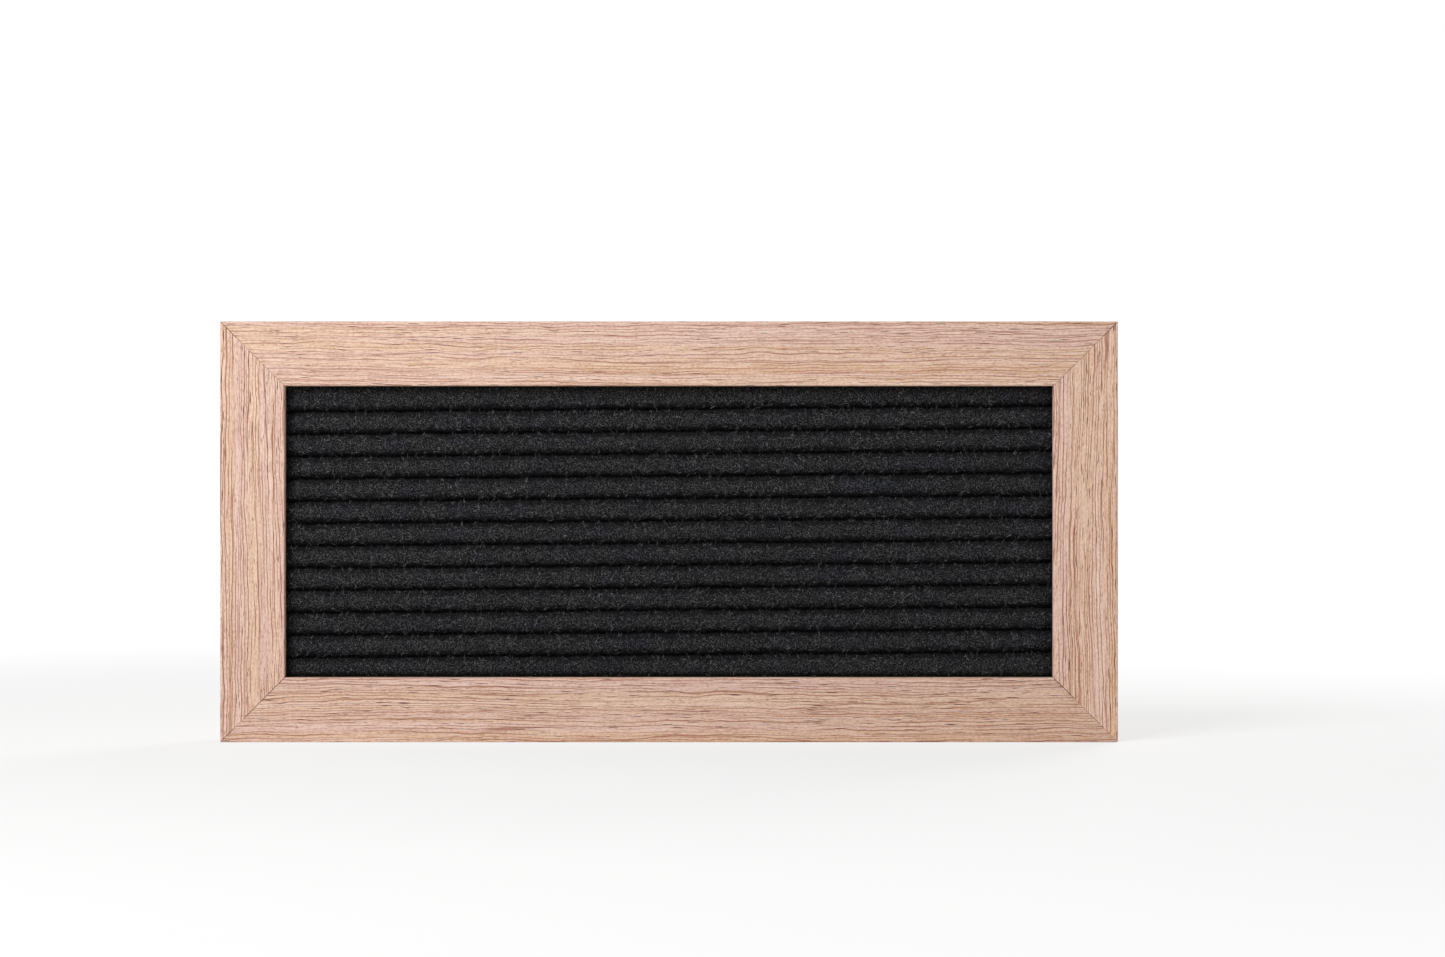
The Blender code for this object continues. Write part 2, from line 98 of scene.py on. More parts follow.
def tint(red: float, green: float, blue: float) -> Colour:
    """A linear colour from the 0 to 255 values that a colour picker shows.

    Args:
        red: the red value.
        green: the green value.
        blue: the blue value.

    Returns:
        The colour as linear red, green, blue and an alpha of 1.
    """
    linear = []
    for value in (red, green, blue):
        share = value / 255
        linear.append(share / 12.92 if share <= 0.04045 else ((share + 0.055) / 1.055) ** 2.4)
    return (linear[0], linear[1], linear[2], 1.0)


class Signal:
    """A shader socket that takes part in Python sums."""

    def __init__(self, recipe: Recipe, socket: bpy.types.NodeSocket) -> None:
        """Keeps the socket and the recipe that it belongs to."""
        self.recipe = recipe
        self.socket = socket

    def _sum(self, operation: str, *operands: Feed) -> Signal:
        """The output of a Math node.

        Args:
            operation: what the node does.
            operands: what it works on.

        Returns:
            The output.
        """
        inputs = dict(enumerate(operands))
        node = self.recipe.node("ShaderNodeMath", {"operation": operation}, inputs)
        return Signal(self.recipe, node.outputs[0])

    def __add__(self, other: Feed) -> Signal:
        """The sum of both."""
        return self._sum("ADD", self, other)

    def __radd__(self, other: Feed) -> Signal:
        """The sum of both."""
        return self._sum("ADD", other, self)

    def __sub__(self, other: Feed) -> Signal:
        """This less the other."""
        return self._sum("SUBTRACT", self, other)

    def __rsub__(self, other: Feed) -> Signal:
        """The other less this."""
        return self._sum("SUBTRACT", other, self)

    def __mul__(self, other: Feed) -> Signal:
        """The product of both."""
        return self._sum("MULTIPLY", self, other)

    def __abs__(self) -> Signal:
        """The size of this without its sign."""
        return self._sum("ABSOLUTE", self)

    def larger(self, other: Feed) -> Signal:
        """The larger of the two."""
        return self._sum("MAXIMUM", self, other)

    def zigzag(self) -> Signal:
        """Up from 0 to 1 and down again as this grows by 1, without a jump."""
        return self._sum("PINGPONG", self, 0.5) * 2.0


Feed = float | Signal | Sequence[float]


class Recipe:
    """The node tree of one material, or of the world."""

    def __init__(self, name: str, world: bool = False) -> None:
        """Makes the material or the world, with its plain shader.

        Args:
            name: its name.
            world: whether it is a world.
        """
        self.made = (bpy.data.worlds if world else bpy.data.materials).new(name)
        self.made.use_nodes = True
        self.tree = self.made.node_tree
        self.shader = self.tree.nodes["Background" if world else "Principled BSDF"]

    def node(
        self,
        kind: str,
        settings: dict[str, Any] | None = None,
        inputs: dict[int | str, Feed] | None = None,
    ) -> bpy.types.Node:
        """Adds a node.

        Args:
            kind: the node's type.
            settings: its own settings, which are made first.
            inputs: values or signals for its sockets, by name or number.

        Returns:
            The new node.
        """
        made = self.tree.nodes.new(kind)
        for key, value in (settings or {}).items():
            setattr(made, key, value)
        for key, value in (inputs or {}).items():
            self.feed(made.inputs[key], value)
        return made

    def feed(self, socket: bpy.types.NodeSocket, value: Feed) -> None:
        """Links a signal to a socket, or sets the socket's own value.

        Args:
            socket: the input socket.
            value: a signal, a number or a row of numbers.
        """
        if isinstance(value, Signal):
            self.tree.links.new(value.socket, socket)
        else:
            socket.default_value = value

    def here(self) -> Signal:
        """The shaded point in the object's coordinates."""
        return Signal(self, self.node("ShaderNodeTexCoord").outputs["Object"])

    def place(self) -> tuple[Signal, Signal, Signal]:
        """The shaded point's three coordinates, as signals."""
        split = self.node("ShaderNodeSeparateXYZ", None, {0: self.here()})
        return tuple(Signal(self, socket) for socket in split.outputs)

    def point(self, across: Feed, deep: Feed, high: Feed) -> Signal:
        """One vector from three signals or numbers."""
        inputs = {0: across, 1: deep, 2: high}
        return Signal(self, self.node("ShaderNodeCombineXYZ", None, inputs).outputs[0])

    def noise(self, where: Signal, scale: float = 1.0, detail: float = 1.0) -> Signal:
        """Soft noise from 0 to 1, mostly near 0.5.

        Args:
            where: the point at which it is read.
            scale: lumps in a unit of length.
            detail: octaves of finer noise on top.

        Returns:
            The noise.
        """
        inputs = {"Vector": where, "Scale": scale, "Detail": detail, "Roughness": 0.5}
        made = self.node("ShaderNodeTexNoise", {"noise_dimensions": "3D"}, inputs)
        return Signal(self, made.outputs[0])

    def cells(self, where: Signal, scale: float) -> Signal:
        """The distance to scattered points, in cell widths.

        Args:
            where: the point at which it is read.
            scale: points in a unit of length.

        Returns:
            The distance.
        """
        settings = {"voronoi_dimensions": "3D", "feature": "F1"}
        made = self.node("ShaderNodeTexVoronoi", settings, {"Vector": where, "Scale": scale})
        return Signal(self, made.outputs["Distance"])

    def rise(self, value: Signal, low: float, high: float) -> Signal:
        """0 below low, 1 above high and smooth in between; turned round if high is below low.

        Args:
            value: the signal that is read.
            low: where the result is 0.
            high: where it is 1.

        Returns:
            The share.
        """
        settings = {"interpolation_type": "SMOOTHSTEP"}
        inputs = {"Value": value, "From Min": low, "From Max": high}
        if low > high:
            inputs |= {"From Min": high, "From Max": low, "To Min": 1.0, "To Max": 0.0}
        return Signal(self, self.node("ShaderNodeMapRange", settings, inputs).outputs[0])

    def mix(self, share: Feed, first: Feed, second: Feed, blend: str = "MIX") -> Signal:
        """A colour between two, or one laid on the other.

        Args:
            share: how much of the second shows.
            first: the first colour.
            second: the second colour.
            blend: the Mix node's way of blending.

        Returns:
            The mixed colour.
        """
        settings = {"data_type": "RGBA", "blend_type": blend}
        made = self.node("ShaderNodeMix", settings, {0: share, 6: first, 7: second})
        return Signal(self, made.outputs[2])

    def coats(self, base: Feed, *coats: tuple[Feed, Feed]) -> Feed:
        """Lays colours over a base, one after the other.

        Args:
            base: the first colour.
            coats: how much of each further colour shows, with the colour.

        Returns:
            The colour that they make.
        """
        for share, colour in coats:
            base = self.mix(share, base, colour)
        return base

    def bump(self, height: Signal, distance: float) -> Signal:
        """A normal from a height between 0 and 1.

        Args:
            height: the height.
            distance: how far a height of 1 stands up, in metres.

        Returns:
            The normal.
        """
        inputs = {"Strength": 1.0, "Distance": distance, "Height": height}
        return Signal(self, self.node("ShaderNodeBump", None, inputs).outputs[0])

    def finish(self, **sockets: Feed) -> bpy.types.Material | bpy.types.World:
        """Feeds the plain shader.

        Args:
            sockets: values or signals, named as the sockets are but with underscores.

        Returns:
            The finished material or world.
        """
        for key, value in sockets.items():
            self.feed(self.shader.inputs[key.replace("_", " ")], value)
        return self.made

    def looked_at(self) -> Signal:
        """Tells what is seen from what only lights the board.

        Returns:
            1 for what is seen, straight or through a shiny or clear thing, and else 0.
        """
        rays = self.node("ShaderNodeLightPath").outputs
        camera, glossy, through = (
            Signal(self, rays[f"Is {kind} Ray"]) for kind in ("Camera", "Glossy", "Transmission")
        )
        return camera.larger(glossy).larger(through)

    def glow(self, kind: str, share: Feed, output: str) -> None:
        """Shows a plain white light in place of the shader.

        Args:
            kind: the type of the node that gives the light.
            share: how much of it shows.
            output: the name of the tree's last node.
        """
        light = self.node(kind, None, {"Color": WHITE, "Strength": 1.0})
        blend = self.node("ShaderNodeMixShader", None, {"Fac": share})
        self.tree.links.new(self.shader.outputs[0], blend.inputs[1])
        self.tree.links.new(light.outputs[0], blend.inputs[2])
        self.tree.links.new(blend.outputs[0], self.tree.nodes[output].inputs["Surface"])


class Grain(Enum):
    """Which way the wood's grain runs."""

    SIDEWAYS = 0
    UPRIGHT = 2


@dataclass(frozen=True)
class OakFinish:
    """Bare pinkish oak: straight bands, broken year lines, open pores with painted highlights
    beside them, and short fibres.
    """

    tan: Colour = tint(230, 194, 168)
    pink: Colour = tint(228, 192, 177)
    honey: Colour = tint(222, 180, 148)
    year_brown: Colour = tint(156, 96, 70)
    pore_brown: Colour = tint(112, 52, 30)
    pale: Colour = tint(252, 230, 215)
    wander: float = 0.004
    kink: float = 0.0011
    year_spacing: float = 0.0025
    fibre_spacing: float = 0.0011
    tilt: float = 1.2
    groove: float = 0.00006

    def make(
        self, name: str, grain: Grain, seed: float, tone: float, figure: float
    ) -> bpy.types.Material:
        """Makes the finish for one rail.

        Args:
            name: the material's name.
            grain: which way the rail runs.
            seed: a shift along the grain that gives each rail its own figure.
            tone: how light the rail's wood is, where 1 is as the colours say.
            figure: how strongly its lines and pores are drawn.

        Returns:
            The material.
        """
        recipe = Recipe(name)
        across_x, deep, high = recipe.place()
        along, across = (across_x, high) if grain is Grain.SIDEWAYS else (high, across_x)
        along = along + seed
        sway = recipe.noise(recipe.point(along * 7, across * 15, deep * 15)) - 0.5
        kinks = recipe.noise(recipe.point(along * 75, across * 90, deep * 90), 1, 2) - 0.5
        strayed = sway * self.wander + kinks * self.kink
        across, deep = across + strayed, deep + strayed * 0.5

        def streak(lengthways: float, crossways: float, detail: float = 0.0) -> Signal:
            """Noise drawn out along the grain."""
            where = recipe.point(along * lengthways, across * crossways, deep * crossways)
            return recipe.noise(where, detail=detail)

        def layers(spacing: float, warp: Signal, width: float) -> Signal:
            """Thin lines where tilted layers of growth come to the surface."""
            turns = across * (1 / spacing) + deep * (self.tilt / spacing) + warp
            return recipe.rise(turns.zigzag(), 1.0 - width, 1.0 - width * 0.35)

        def dashes(lengthways: float, crossways: float, size: float, lift: float = 0.0) -> Signal:
            """Scattered short strokes along the grain, lifted across it by a length."""
            where = recipe.point(along * lengthways, (across + lift) * crossways, deep * crossways)
            return recipe.rise(recipe.cells(where, 1.0), size, size * 0.4)

        year = layers(self.year_spacing, streak(6, 110, 1) * 4.0, 0.15)
        year = year * (recipe.rise(streak(26, 420), 0.38, 0.54) * 0.8 + 0.2)
        grown = layers(self.fibre_spacing, streak(8, 200, 1) * 3.2, 0.34)
        grown = grown * (recipe.rise(streak(36, 700), 0.36, 0.54) * 0.9 + 0.1)
        belt = recipe.rise(streak(9, 170), 0.34, 0.54)
        pore = dashes(85, 1300, 0.25) * belt
        # Painted highlight: pale dashes just beside the pores, as if their edges caught the light.
        painted_pore_glint = dashes(85, 1300, 0.25, -0.00024) * belt
        pit = dashes(150, 1700, 0.19)
        fibre = streak(130, 2700, 1) - 0.5
        mottle = recipe.noise(recipe.point(along * 900, across * 2000, deep * 2000)) - 0.5
        colour = recipe.coats(
            self.tan,
            (recipe.rise(streak(2.4, 240, 2), 0.42, 0.58), self.pink),
            (recipe.rise(streak(1.6, 190, 1), 0.56, 0.66) * 0.7, self.honey),
            ((streak(6, 420) - 0.5).larger(0.0) * 0.9, self.pale),
            ((fibre + mottle * 0.8).larger(0.0) * 1.6, self.pale),
            ((0.0 - fibre - mottle).larger(0.0) * 1.3, self.year_brown),
            # The painted highlight beside the pores is laid on here.
            (painted_pore_glint * 0.75, self.pale),
            ((grown * 0.66).larger(year * 0.62) * figure, self.year_brown),
            ((pore * 0.9).larger(pit * 0.7) * figure, self.pore_brown),
        )
        colour = recipe.mix(1.0, colour, (tone, tone, tone, 1.0), "MULTIPLY")
        height = 1.0 - pore * 0.8 - year * 0.35 - pit * 0.4 + fibre * 0.4
        return recipe.finish(
            Base_Color=colour,
            Roughness=0.6 + pore * 0.2,
            Normal=recipe.bump(height, self.groove),
            Specular_IOR_Level=0.2,
        )


@dataclass(frozen=True)
class GlueFinish:
    """Dried glue and the dust that it holds."""

    pale: Colour = tint(186, 146, 124)
    dark: Colour = tint(92, 54, 40)

    def make(self, name: str) -> bpy.types.Material:
        """Makes the finish.

        Args:
            name: the material's name.

        Returns:
            The material.
        """
        recipe = Recipe(name)
        dust = recipe.noise(recipe.here(), 700)
        colour = recipe.mix(recipe.rise(dust, 0.54, 0.64), self.pale, self.dark)
        return recipe.finish(Base_Color=colour, Roughness=0.7 + dust * 0.2)


@dataclass(frozen=True)
class FeltFinish:
    """Charcoal pressed felt: curled pale fibres on a dark bed, with painted shade down in the
    pleats and under the frame's lip.
    """

    bed: Colour = tint(22, 22, 23)
    fibre: Colour = tint(106, 106, 106)
    blue_fibre: Colour = tint(99, 101, 112)
    stray: Colour = tint(150, 150, 153)
    # This grey and the next are painted shade, multiplied into the felt where the slots and the
    # frame's lip would shade it.
    pleat_shade: Colour = tint(162, 162, 162)
    brink: Colour = tint(90, 90, 90)
    curl: float = 1400.0

    def make(self, name: str) -> bpy.types.Material:
        """Makes the finish, which reads a share that the sheet carries and paints shade from it in
        the pleats and under the frame's lip.

        Args:
            name: the material's name.

        Returns:
            The material.
        """
        recipe = Recipe(name)
        across, deep, high = recipe.place()
        plain = recipe.here()
        bend = (recipe.noise(plain, 600) - 0.5) * 0.002

        def strands(shift: float, scale: float) -> Signal:
            """Thin curled lines where a noise crosses its middle."""
            where = recipe.point(across + bend + shift, deep - bend, high + bend * 0.6)
            return recipe.rise(abs(recipe.noise(where, scale) - 0.5), 0.08, 0.0)

        web = strands(0.31, self.curl).larger(strands(0.77, self.curl * 1.4))
        here = recipe.point(across + bend, deep + bend, high - bend)
        lumps = recipe.noise(here, 2400)
        clumps = recipe.noise(plain, 220, 2)
        tufts = recipe.rise(lumps, 0.44, 0.70)
        bright = tufts * (web * 0.7 + 0.35) * (clumps * 1.3 + 0.35)
        blue = recipe.rise(recipe.noise(plain, 90), 0.50, 0.66)
        strand = recipe.mix(blue, self.fibre, self.blue_fibre)
        stray = recipe.rise(recipe.noise(here, 1200), 0.68, 0.76) * web
        colour = recipe.coats(self.bed, (bright, strand), (stray * 0.7, self.stray))
        settings = {"attribute_name": "unshaded_share"}
        unshaded_share = Signal(recipe, recipe.node("ShaderNodeAttribute", settings).outputs["Fac"])
        ragged_shade = unshaded_share + (recipe.noise(plain, 640, 2) - 0.5) * 1.3
        # Painted shade: the felt is multiplied darker in and just beside each slot, with ragged
        # edges.
        colour = recipe.mix(recipe.rise(ragged_shade, 0.95, 0.0), colour, self.pleat_shade, "MULTIPLY")
        # Painted shade: a further darkening where the share is lowest, in the slots and along the
        # frame's lip.
        colour = recipe.mix(recipe.rise(unshaded_share, 0.2, -0.9), colour, self.brink, "MULTIPLY")
        return recipe.finish(
            Base_Color=colour,
            Roughness=0.95,
            Normal=recipe.bump(bright * 0.6 + lumps * 0.4, 0.0004),
            Specular_IOR_Level=0.05,
            Sheen_Weight=0.02,
            Sheen_Roughness=0.6,
        )


@dataclass(frozen=True)
class StrandFinish:
    """Loose wool ends, from charcoal to pale grey, a few of them bluish."""

    dark: Colour = tint(66, 66, 67)
    pale: Colour = tint(150, 150, 150)
    bluish: Colour = tint(104, 107, 122)

    def make(self, name: str) -> bpy.types.Material:
        """Makes the finish.

        Args:
            name: the material's name.

        Returns:
            The material.
        """
        recipe = Recipe(name)
        here = recipe.here()
        colour = recipe.coats(
            self.dark,
            (recipe.rise(recipe.noise(here, 700), 0.40, 0.66), self.pale),
            (recipe.rise(recipe.noise(here, 260), 0.56, 0.66) * 0.5, self.bluish),
        )
        return recipe.finish(Base_Color=colour, Roughness=0.9, Specular_IOR_Level=0.05)


@dataclass(frozen=True)
class FibreboardFinish:
    """Raw fibreboard: a brown ground with pale curled chips and dark specks."""

    ground: Colour = tint(200, 162, 139)
    reddish: Colour = tint(198, 158, 134)
    chip: Colour = tint(244, 214, 192)
    shade: Colour = tint(138, 92, 70)
    speck: Colour = tint(84, 52, 40)

    def make(self, name: str) -> bpy.types.Material:
        """Makes the finish.

        Args:
            name: the material's name.

        Returns:
            The material.
        """
        recipe = Recipe(name)
        across, deep, high = recipe.place()
        here = recipe.here()
        bend = (recipe.noise(here, 420) - 0.5) * 0.003
        curled = recipe.point(across + bend, deep, high - bend)
        mottle = recipe.noise(curled, 1500, 2)
        chips = recipe.rise(abs(recipe.noise(curled, 900, 0) - 0.5), 0.045, 0.0)
        chips = chips * recipe.rise(recipe.noise(here, 1100), 0.50, 0.60)
        grit = recipe.rise(recipe.cells(curled, 950), 0.24, 0.14)
        grit = grit * recipe.rise(recipe.noise(here, 520), 0.46, 0.58)
        specks = recipe.rise(recipe.cells(curled, 260), 0.17, 0.10)
        specks = specks * recipe.rise(recipe.noise(here, 330, 0), 0.52, 0.62)
        colour = recipe.coats(
            self.ground,
            (recipe.rise(recipe.noise(here, 45, 3), 0.38, 0.62), self.reddish),
            (recipe.rise(mottle, 0.50, 0.32) * 0.75, self.shade),
            (chips * 0.85, self.chip),
            (recipe.rise(mottle, 0.56, 0.72) * 0.7, self.chip),
            (grit * 0.8, self.shade),
            (specks * 0.85, self.speck),
        )
        height = mottle * 0.6 + chips * 0.4 - specks * 0.5
        return recipe.finish(
            Base_Color=colour,
            Roughness=0.85,
            Normal=recipe.bump(height, 0.00010),
            Specular_IOR_Level=0.25,
        )


@dataclass(frozen=True)
class MetalFinish:
    """A thin plated or bare metal with faint rolling marks and dulled patches."""

    colour: Colour
    dull: Colour
    metallic: float
    roughness: float
    marks: tuple[float, float, float]

    def make(self, name: str) -> bpy.types.Material:
        """Makes the finish.

        Args:
            name: the material's name.

        Returns:
            The material.
        """
        recipe = Recipe(name)
        across, deep, high = recipe.place()
        ways = self.marks
        lines = recipe.noise(recipe.point(across * ways[0], deep * ways[1], high * ways[2]), 1, 2)
        cloud = recipe.noise(recipe.here(), 420, 3)
        colour = recipe.coats(
            self.colour,
            (recipe.rise(cloud, 0.45, 0.70), self.dull),
            (recipe.rise(lines, 0.60, 0.72) * 0.35, self.dull),
        )
        rough = (cloud - 0.5) * 0.25 + (lines - 0.5) * 0.25 + self.roughness
        return recipe.finish(
            Base_Color=colour,
            Metallic=self.metallic,
            Roughness=rough,
            Normal=recipe.bump(lines, 0.00002),
        )


BRASS_WIRE = MetalFinish(
    tint(182, 166, 124), tint(138, 120, 80), 1.0, 0.2, (2600.0, 2600.0, 400.0)
)
BRASS_SHEET = MetalFinish(
    tint(166, 146, 113), tint(157, 129, 87), 1.0, 0.46, (3200.0, 600.0, 260.0)
)
MAGNET_GREY = MetalFinish(
    tint(122, 122, 122), tint(119, 119, 119), 0.0, 0.8, (500.0, 500.0, 2200.0)
)
WEDGE_STEEL = MetalFinish(tint(136, 104, 82), tint(96, 70, 54), 0.5, 0.5, (2400.0, 200.0, 2400.0))


def deselect() -> None:
    for found in bpy.context.selected_objects:
        found.select_set(False)


def select_only(piece: bpy.types.Object) -> None:
    """Makes one piece the selected and active one.

    Args:
        piece: the piece.
    """
    deselect()
    piece.select_set(True)
    bpy.context.view_layer.objects.active = piece


def settle(piece: bpy.types.Object) -> None:
    """Puts a piece's place, turn and scale into its mesh."""
    select_only(piece)
    bpy.ops.object.transform_apply(location=True, rotation=True, scale=True)


def smooth(piece: bpy.types.Object, degrees: float) -> None:
    """Shades a piece smooth, apart from edges sharper than the angle."""
    select_only(piece)
    bpy.ops.object.shade_smooth_by_angle(angle=math.radians(degrees))


def coat(piece: bpy.types.Object, material: bpy.types.Material) -> None:
    """Gives a piece one material in all its slots.

    Args:
        piece: the piece.
        material: the material.
    """
    if not piece.data.materials:
        piece.data.materials.append(material)
    for slot in piece.material_slots:
        slot.material = material


def joined(parts: Sequence[bpy.types.Object], name: str) -> bpy.types.Object:
    """Makes several objects one.

    Args:
        parts: the objects.
        name: the new piece's name.

    Returns:
        The piece.
    """
    deselect()
    for part in parts:
        part.select_set(True)
    bpy.context.view_layer.objects.active = parts[0]
    bpy.ops.object.join()
    parts[0].name = name
    return parts[0]


def merged_copy(source: bpy.types.Object, name: str) -> bpy.types.Object:
    """A copy of a CAD node whose loose triangles are joined up.

    Args:
        source: the CAD node's object.
        name: the new piece's name.

    Returns:
        The new piece, which has none of the node's marks.
    """
    mesh = source.data.copy()
    mesh.name = name
    piece = bpy.data.objects.new(name, mesh)
    bpy.context.scene.collection.objects.link(piece)
    select_only(piece)
    bpy.ops.object.mode_set(mode="EDIT")
    bpy.ops.mesh.select_all(action="SELECT")
    bpy.ops.mesh.remove_doubles(threshold=WELD_DISTANCE)
    bpy.ops.mesh.dissolve_limited(angle_limit=math.radians(FLAT_DEGREES))
    bpy.ops.object.mode_set(mode="OBJECT")
    if mesh.has_custom_normals:
        bpy.ops.mesh.customdata_custom_splitnormals_clear()
    return piece


def join_board(piece: bpy.types.Object, body: str, slot: str, *nodes: str) -> None:
    """Rides a new piece on a body and hides the CAD nodes that it stands for.

    Args:
        piece: the new piece.
        body: the CAD body that it moves with.
        slot: the name of a material slot; not used.
        nodes: the CAD nodes that it replaces.
    """
    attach(piece, body)
    if nodes:
        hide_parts(*nodes)
    LOG.info("%s rides on %s with %d faces", piece.name, body, len(piece.data.polygons))


@dataclass
class Corner:
    """One mitre of the frame, by which way it lies from the middle."""

    name: str
    side: int
    up: int
    closed: tuple[Pair, ...]


@dataclass
class OakFrame:
    """Four mitred rails and the glue that closes parts of their joints."""

    rails: dict[str, tuple[Grain, float, float, float]] = field(
        default_factory=lambda: {
            "frame_rail_top": (Grain.SIDEWAYS, 1.7, 1.02, 1.0),
            "frame_rail_bottom": (Grain.SIDEWAYS, 5.3, 0.98, 1.15),
            "frame_rail_left": (Grain.UPRIGHT, 9.1, 1.02, 1.35),
            "frame_rail_right": (Grain.UPRIGHT, 14.2, 1.08, 1.4),
        }
    )
    corners: tuple[Corner, ...] = (
        Corner("top_left", -1, 1, ((0.0085, 0.0322),)),
        Corner("top_right", 1, 1, ((0.0075, 0.0322),)),
        Corner("bottom_left", -1, -1, ((0.006, 0.013),)),
        Corner("bottom_right", 1, -1, ((0.001, 0.022),)),
    )
    wedge_place: float = 0.0144
    wedge_room: float = 0.001
    glue_thickness: float = 0.0001996
    glue_depth: float = 0.0025
    core_span: Pair = (0.0004, 0.0245)
    core_deep: float = -0.00385
    glue_sunk: float = 0.000001
    glue_cuts: int = 40
    glue_ripple: float = 0.000001
    ripple_turns: Pair = (3100.0, 1270.0)
    ripple_shift: float = 2.0

    def build(self, nodes: dict[str, bpy.types.Object]) -> None:
        """Dresses the rails and lays the glue lines.

        Args:
            nodes: the CAD's nodes by name.
        """
        oak = OakFinish()
        for name, (grain, seed, tone, figure) in self.rails.items():
            coat(nodes[name], oak.make("oak_" + name, grain, seed, tone, figure))
            LOG.info("%s has its own oak figure", name)
        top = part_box("frame_rail_top")[1]
        reach = Vector((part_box("frame_rail_right")[1].x, top.y, top.z))
        glue = GlueFinish().make("mitre_glue")
        for corner in self.corners:
            self.glue_line(corner, reach, glue)

    def glue_line(self, corner: Corner, reach: Vector, glue: bpy.types.Material) -> None:
        """Fills the closed stretch of one mitre, front and back, and its core.

        Args:
            corner: the mitre.
            reach: the highest corner of the frame's box.
            glue: the glue's finish.
        """
        outer = Vector((corner.side * reach.x, 0, reach.z if corner.up > 0 else 0))
        inward = Vector((-corner.side, 0, -corner.up)).normalized()
        angle = math.atan2(inward.z, inward.x)
        spans = [(*self.core_span, self.core_deep, 1)]
        for start, end in corner.closed:
            for face in (-reach.y, reach.y):
                into = 1 if face < 0 else -1
                deep = face + into * (self.glue_sunk + self.glue_depth / 2)
                clear = self.clear_of_wedge(start, end, face > 0)
                spans += [(first, last, deep, into) for first, last in clear]
        strips = []
        for first, last, deep, into in spans:
            middle = outer + inward * ((first + last) / 2) + Vector((0, deep, 0))
            strips.append(self.glue_strip(middle, last - first, angle, into))
        line = joined(strips, "mitre_glue_" + corner.name)
        coat(line, glue)
        join_board(line, BOARD, "oak")

    def clear_of_wedge(self, start: float, end: float, at_back: bool) -> list[Pair]:
        """The stretches of a glue line, split at the back where the wedge crosses.

        Args:
            start: where the line starts, from the outer corner.
            end: where it ends.
            at_back: whether the wedge is on this face.

        Returns:
            The start and end of each stretch.
        """
        wedge, room = self.wedge_place, self.wedge_room
        if not at_back or end < wedge - room or start > wedge + room:
            return [(start, end)]
        stretches = [(start, wedge - room), (wedge + room, end)]
        return [found for found in stretches if found[1] - found[0] > room]

    def glue_strip(
        self, middle: Vector, length: float, angle: float, into: int
    ) -> bpy.types.Object:
        """One thin strip of glue whose shown edge is uneven.

        Args:
            middle: the strip's middle.
            length: its length along the mitre.
            angle: the mitre's direction in the board's plane.
            into: 1 where the strip goes in along +Y, or -1.

        Returns:
            The strip.
        """
        deselect()
        bpy.ops.mesh.primitive_cube_add(size=1)
        strip = bpy.context.active_object
        strip.scale = (length, self.glue_depth, self.glue_thickness)
        settle(strip)
        bpy.ops.object.mode_set(mode="EDIT")
        for cut in range(1, self.glue_cuts):
            place = (cut / self.glue_cuts - 0.5) * length
            bpy.ops.mesh.select_all(action="SELECT")
            bpy.ops.mesh.bisect(plane_co=(place, 0, 0), plane_no=(1, 0, 0))
        bpy.ops.object.mode_set(mode="OBJECT")
        fine, coarse = self.ripple_turns
        for corner in strip.data.vertices:
            if corner.co.y * into < 0:
                along = corner.co.x
                wave = math.sin(along * fine) + math.sin(along * coarse + self.ripple_shift)
                corner.co.y += into * self.glue_ripple * (2 + wave)
        strip.rotation_euler = (0, -angle, 0)
        strip.location = middle
        settle(strip)
        return strip


